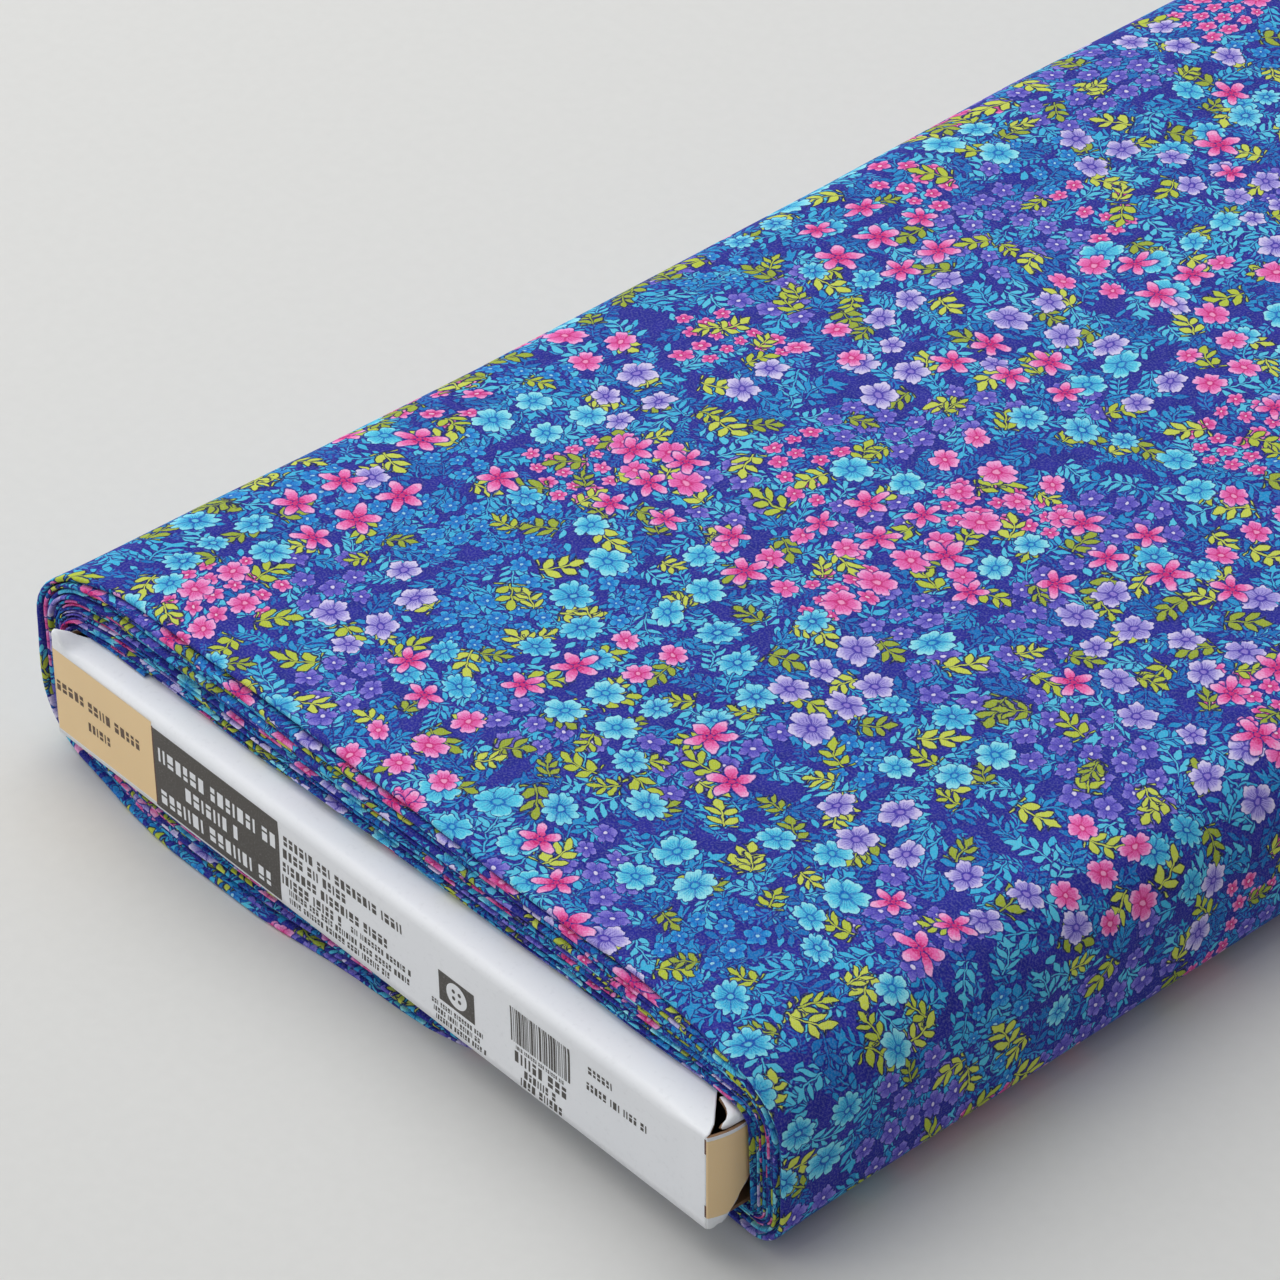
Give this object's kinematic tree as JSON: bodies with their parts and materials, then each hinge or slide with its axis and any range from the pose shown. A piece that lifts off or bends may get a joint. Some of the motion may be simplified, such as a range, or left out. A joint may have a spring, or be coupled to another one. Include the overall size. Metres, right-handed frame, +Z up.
{
  "type": "fabric bolt",
  "caption": "Doubled printed cotton wound round a flat folded-card bolt board with hinged end closures.",
  "frame": {"origin": "middle of the footprint, on the surface that the bolt lies on", "axes": "+Z up, Y along the board with the labelled end towards -Y, X across the board"},
  "size_m": [0.2242, 0.59, 0.047],
  "materials": {
    "board": "matte",
    "printed_board": "matte",
    "printed_cotton": "matte"
  },
  "bodies": {
    "wound_cloth": {"cloth_turns_over": "printed_cotton", "cloth_turns_under": "printed_cotton", "cloth_turns_left": "printed_cotton", "cloth_turns_right": "printed_cotton"},
    "board": {"top_panel": "board", "side_wall_left": "board", "side_wall_right": "board", "bottom_panel_left": "board", "bottom_panel_right": "board", "rib_left": "board", "rib_right": "board", "rib_flange_left": "board", "rib_flange_right": "board"},
    "front_flap": {"front_end_panel": "printed_board"},
    "front_tab": {"front_tuck_tab": "board"},
    "front_left_ear": {"front_ear_left": "printed_board"},
    "front_right_ear": {"front_ear_right": "printed_board"},
    "back_flap": {"back_end_panel": "board"},
    "back_tab": {"back_tuck_tab": "board"},
    "back_left_ear": {"back_ear_left": "board"},
    "back_right_ear": {"back_ear_right": "board"}
  },
  "joints": [
    {"name": "board_slide", "type": "slide", "parent": "wound_cloth", "child": "board", "axis": [0, -1, 0], "range_m": [0, 0.62]},
    {"name": "front_flap_fold", "type": "hinge", "parent": "board", "child": "front_flap", "pos_m": [0, -0.29465, 0.03265], "axis": [-1, 0, 0], "range_deg": [0, 85]},
    {"name": "front_tab_fold", "type": "hinge", "parent": "front_flap", "child": "front_tab", "pos_m": [0, -0.2943, 0.0108], "axis": [1, 0, 0], "range_deg": [0, 75]},
    {"name": "front_left_ear_fold", "type": "hinge", "parent": "front_flap", "child": "front_left_ear", "pos_m": [-0.10125, -0.29465, 0.021], "axis": [0, 0, 1], "range_deg": [0, 90]},
    {"name": "front_right_ear_fold", "type": "hinge", "parent": "front_flap", "child": "front_right_ear", "pos_m": [0.10125, -0.29465, 0.021], "axis": [0, 0, -1], "range_deg": [0, 90]},
    {"name": "back_flap_fold", "type": "hinge", "parent": "board", "child": "back_flap", "pos_m": [0, 0.29465, 0.03265], "axis": [1, 0, 0], "range_deg": [0, 85]},
    {"name": "back_tab_fold", "type": "hinge", "parent": "back_flap", "child": "back_tab", "pos_m": [0, 0.2943, 0.0108], "axis": [-1, 0, 0], "range_deg": [0, 75]},
    {"name": "back_left_ear_fold", "type": "hinge", "parent": "back_flap", "child": "back_left_ear", "pos_m": [-0.10125, 0.29465, 0.021], "axis": [0, 0, -1], "range_deg": [0, 90]},
    {"name": "back_right_ear_fold", "type": "hinge", "parent": "back_flap", "child": "back_right_ear", "pos_m": [0.10125, 0.29465, 0.021], "axis": [0, 0, 1], "range_deg": [0, 90]}
  ],
  "couplings": [
    {"joint": "front_tab_fold", "follows": "front_flap_fold", "ratio": 0.85},
    {"joint": "back_tab_fold", "follows": "back_flap_fold", "ratio": 0.85}
  ]
}
